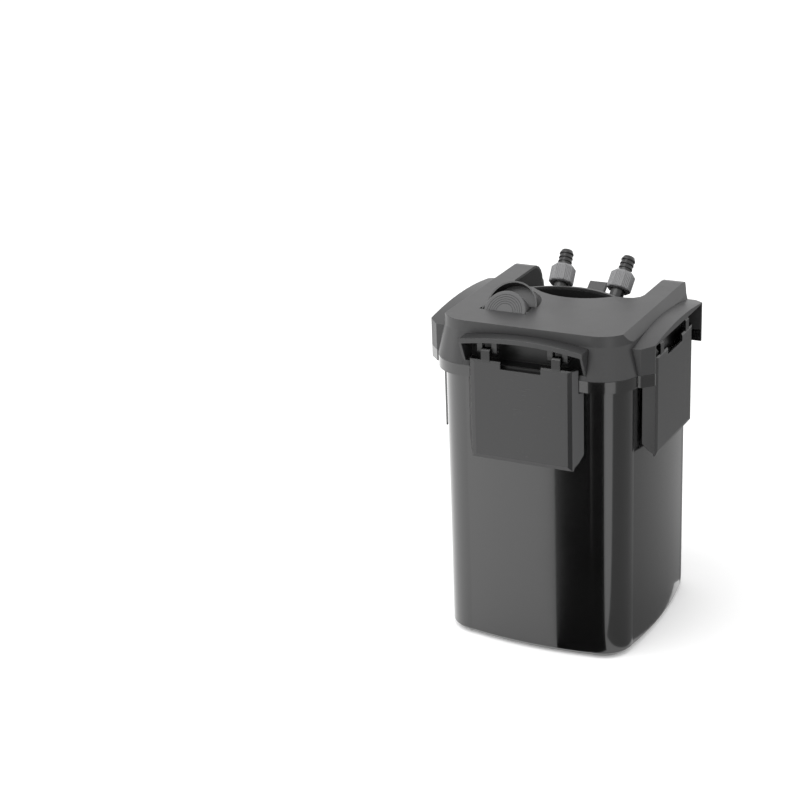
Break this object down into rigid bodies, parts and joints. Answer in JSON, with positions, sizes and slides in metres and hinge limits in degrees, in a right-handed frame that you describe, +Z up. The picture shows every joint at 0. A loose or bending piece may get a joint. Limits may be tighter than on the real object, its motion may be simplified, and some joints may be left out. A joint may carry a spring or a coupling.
{
  "type": "canister filter",
  "caption": "External aquarium canister filter: square canister under a latched head with a priming knob, a tap set and two hose spigots, a pump and media baskets.",
  "frame": {"origin": "on the ground under the middle of the canister", "axes": "+Z up, -Y to the front with its latch, +X to the right"},
  "size_m": [0.2576, 0.262, 0.3996],
  "materials": {
    "canister_plastic": "gloss",
    "head_plastic": "satin",
    "latch_plastic": "satin",
    "knob_plastic": "satin",
    "lever_plastic": "satin",
    "nut_plastic": "satin",
    "fitting_plastic": "satin",
    "inner_plastic": "moulded",
    "impeller_plastic": "moulded",
    "seat_plastic": "moulded",
    "basket_plastic": "moulded",
    "handle_plastic": "moulded",
    "seal_rubber": "matte",
    "steel": "brushed",
    "resin": "potted",
    "ferrite": "ground",
    "shaft_ceramic": "polished",
    "sponge": "open foam",
    "media_ceramic": "loose fill",
    "floss": "felted"
  },
  "bodies": {
    "root": {"canister": "canister_plastic", "rubber_feet": "seal_rubber", "head_cover": "head_plastic", "left_hood": "head_plastic", "right_hood": "head_plastic", "front_visor": "head_plastic", "knob_collar": "head_plastic", "tap_bay": "head_plastic", "latch_pins": "steel", "head_base": "inner_plastic", "head_gasket": "seal_rubber", "head_screws": "steel", "priming_barrel": "inner_plastic", "priming_spring": "steel", "motor_block": "resin", "impeller_shaft": "shaft_ceramic", "shaft_bushes": "seal_rubber", "pump_cover": "inner_plastic", "pump_cover_screws": "steel", "intake_tube": "inner_plastic", "tube_seal": "seal_rubber", "tap_block": "fitting_plastic", "port_seals": "seal_rubber", "plug_seats": "seat_plastic", "left_spigot": "fitting_plastic", "right_spigot": "fitting_plastic", "spigot_seals": "seal_rubber", "media_basket_1": "basket_plastic", "basket_handle_1": "handle_plastic", "media_basket_2": "basket_plastic", "basket_handle_2": "handle_plastic", "media_basket_3": "basket_plastic", "basket_handle_3": "handle_plastic", "coarse_sponge": "sponge", "ceramic_media": "media_ceramic", "fine_floss": "floss", "strainer_lid": "basket_plastic", "cable_gland": "seal_rubber"},
    "front_latch": {"front_latch": "latch_plastic"},
    "right_latch": {"right_latch": "latch_plastic"},
    "left_latch": {"left_latch": "latch_plastic"},
    "knob": {"priming_knob": "knob_plastic", "priming_piston": "inner_plastic", "piston_seal": "seal_rubber"},
    "lever": {"tap_lever": "lever_plastic", "valve_plugs": "impeller_plastic"},
    "left_nut": {"left_nut": "nut_plastic"},
    "right_nut": {"right_nut": "nut_plastic"},
    "rotor": {"rotor_magnet": "ferrite", "impeller": "impeller_plastic"}
  },
  "joints": [
    {"name": "front_latch_swing", "type": "hinge", "parent": "root", "child": "front_latch", "pos_m": [0, -0.121, 0.347], "axis": [-1, 0, 0], "range_deg": [0, 70]},
    {"name": "right_latch_swing", "type": "hinge", "parent": "root", "child": "right_latch", "pos_m": [0.116, 0, 0.347], "axis": [0, -1, 0], "range_deg": [0, 70]},
    {"name": "left_latch_swing", "type": "hinge", "parent": "root", "child": "left_latch", "pos_m": [-0.116, 0, 0.347], "axis": [0, 1, 0], "range_deg": [0, 70]},
    {"name": "priming_press", "type": "slide", "parent": "root", "child": "knob", "axis": [0, 0.8192, -0.5736], "range_m": [0, 0.012], "stiffness_N_per_m": 400, "springref_m": -0.005, "deforming": ["priming_spring"]},
    {"name": "tap_lever_turn", "type": "hinge", "parent": "root", "child": "lever", "pos_m": [0, 0.04498, 0.34276], "axis": [1, 0, 0], "range_deg": [0, 58]},
    {"name": "left_nut_turn", "type": "hinge", "parent": "root", "child": "left_nut", "pos_m": [-0.0345, 0.065, 0.365], "axis": [-0.0698, 0.6675, 0.7413], "range_deg": [0, 360]},
    {"name": "right_nut_turn", "type": "hinge", "parent": "root", "child": "right_nut", "pos_m": [0.0345, 0.065, 0.365], "axis": [0.0698, 0.6675, 0.7413], "range_deg": [0, 360]},
    {"name": "impeller_spin", "type": "hinge", "parent": "root", "child": "rotor", "pos_m": [0.038, -0.052, 0.31], "axis": [0, 0, 1], "continuous": true}
  ]
}
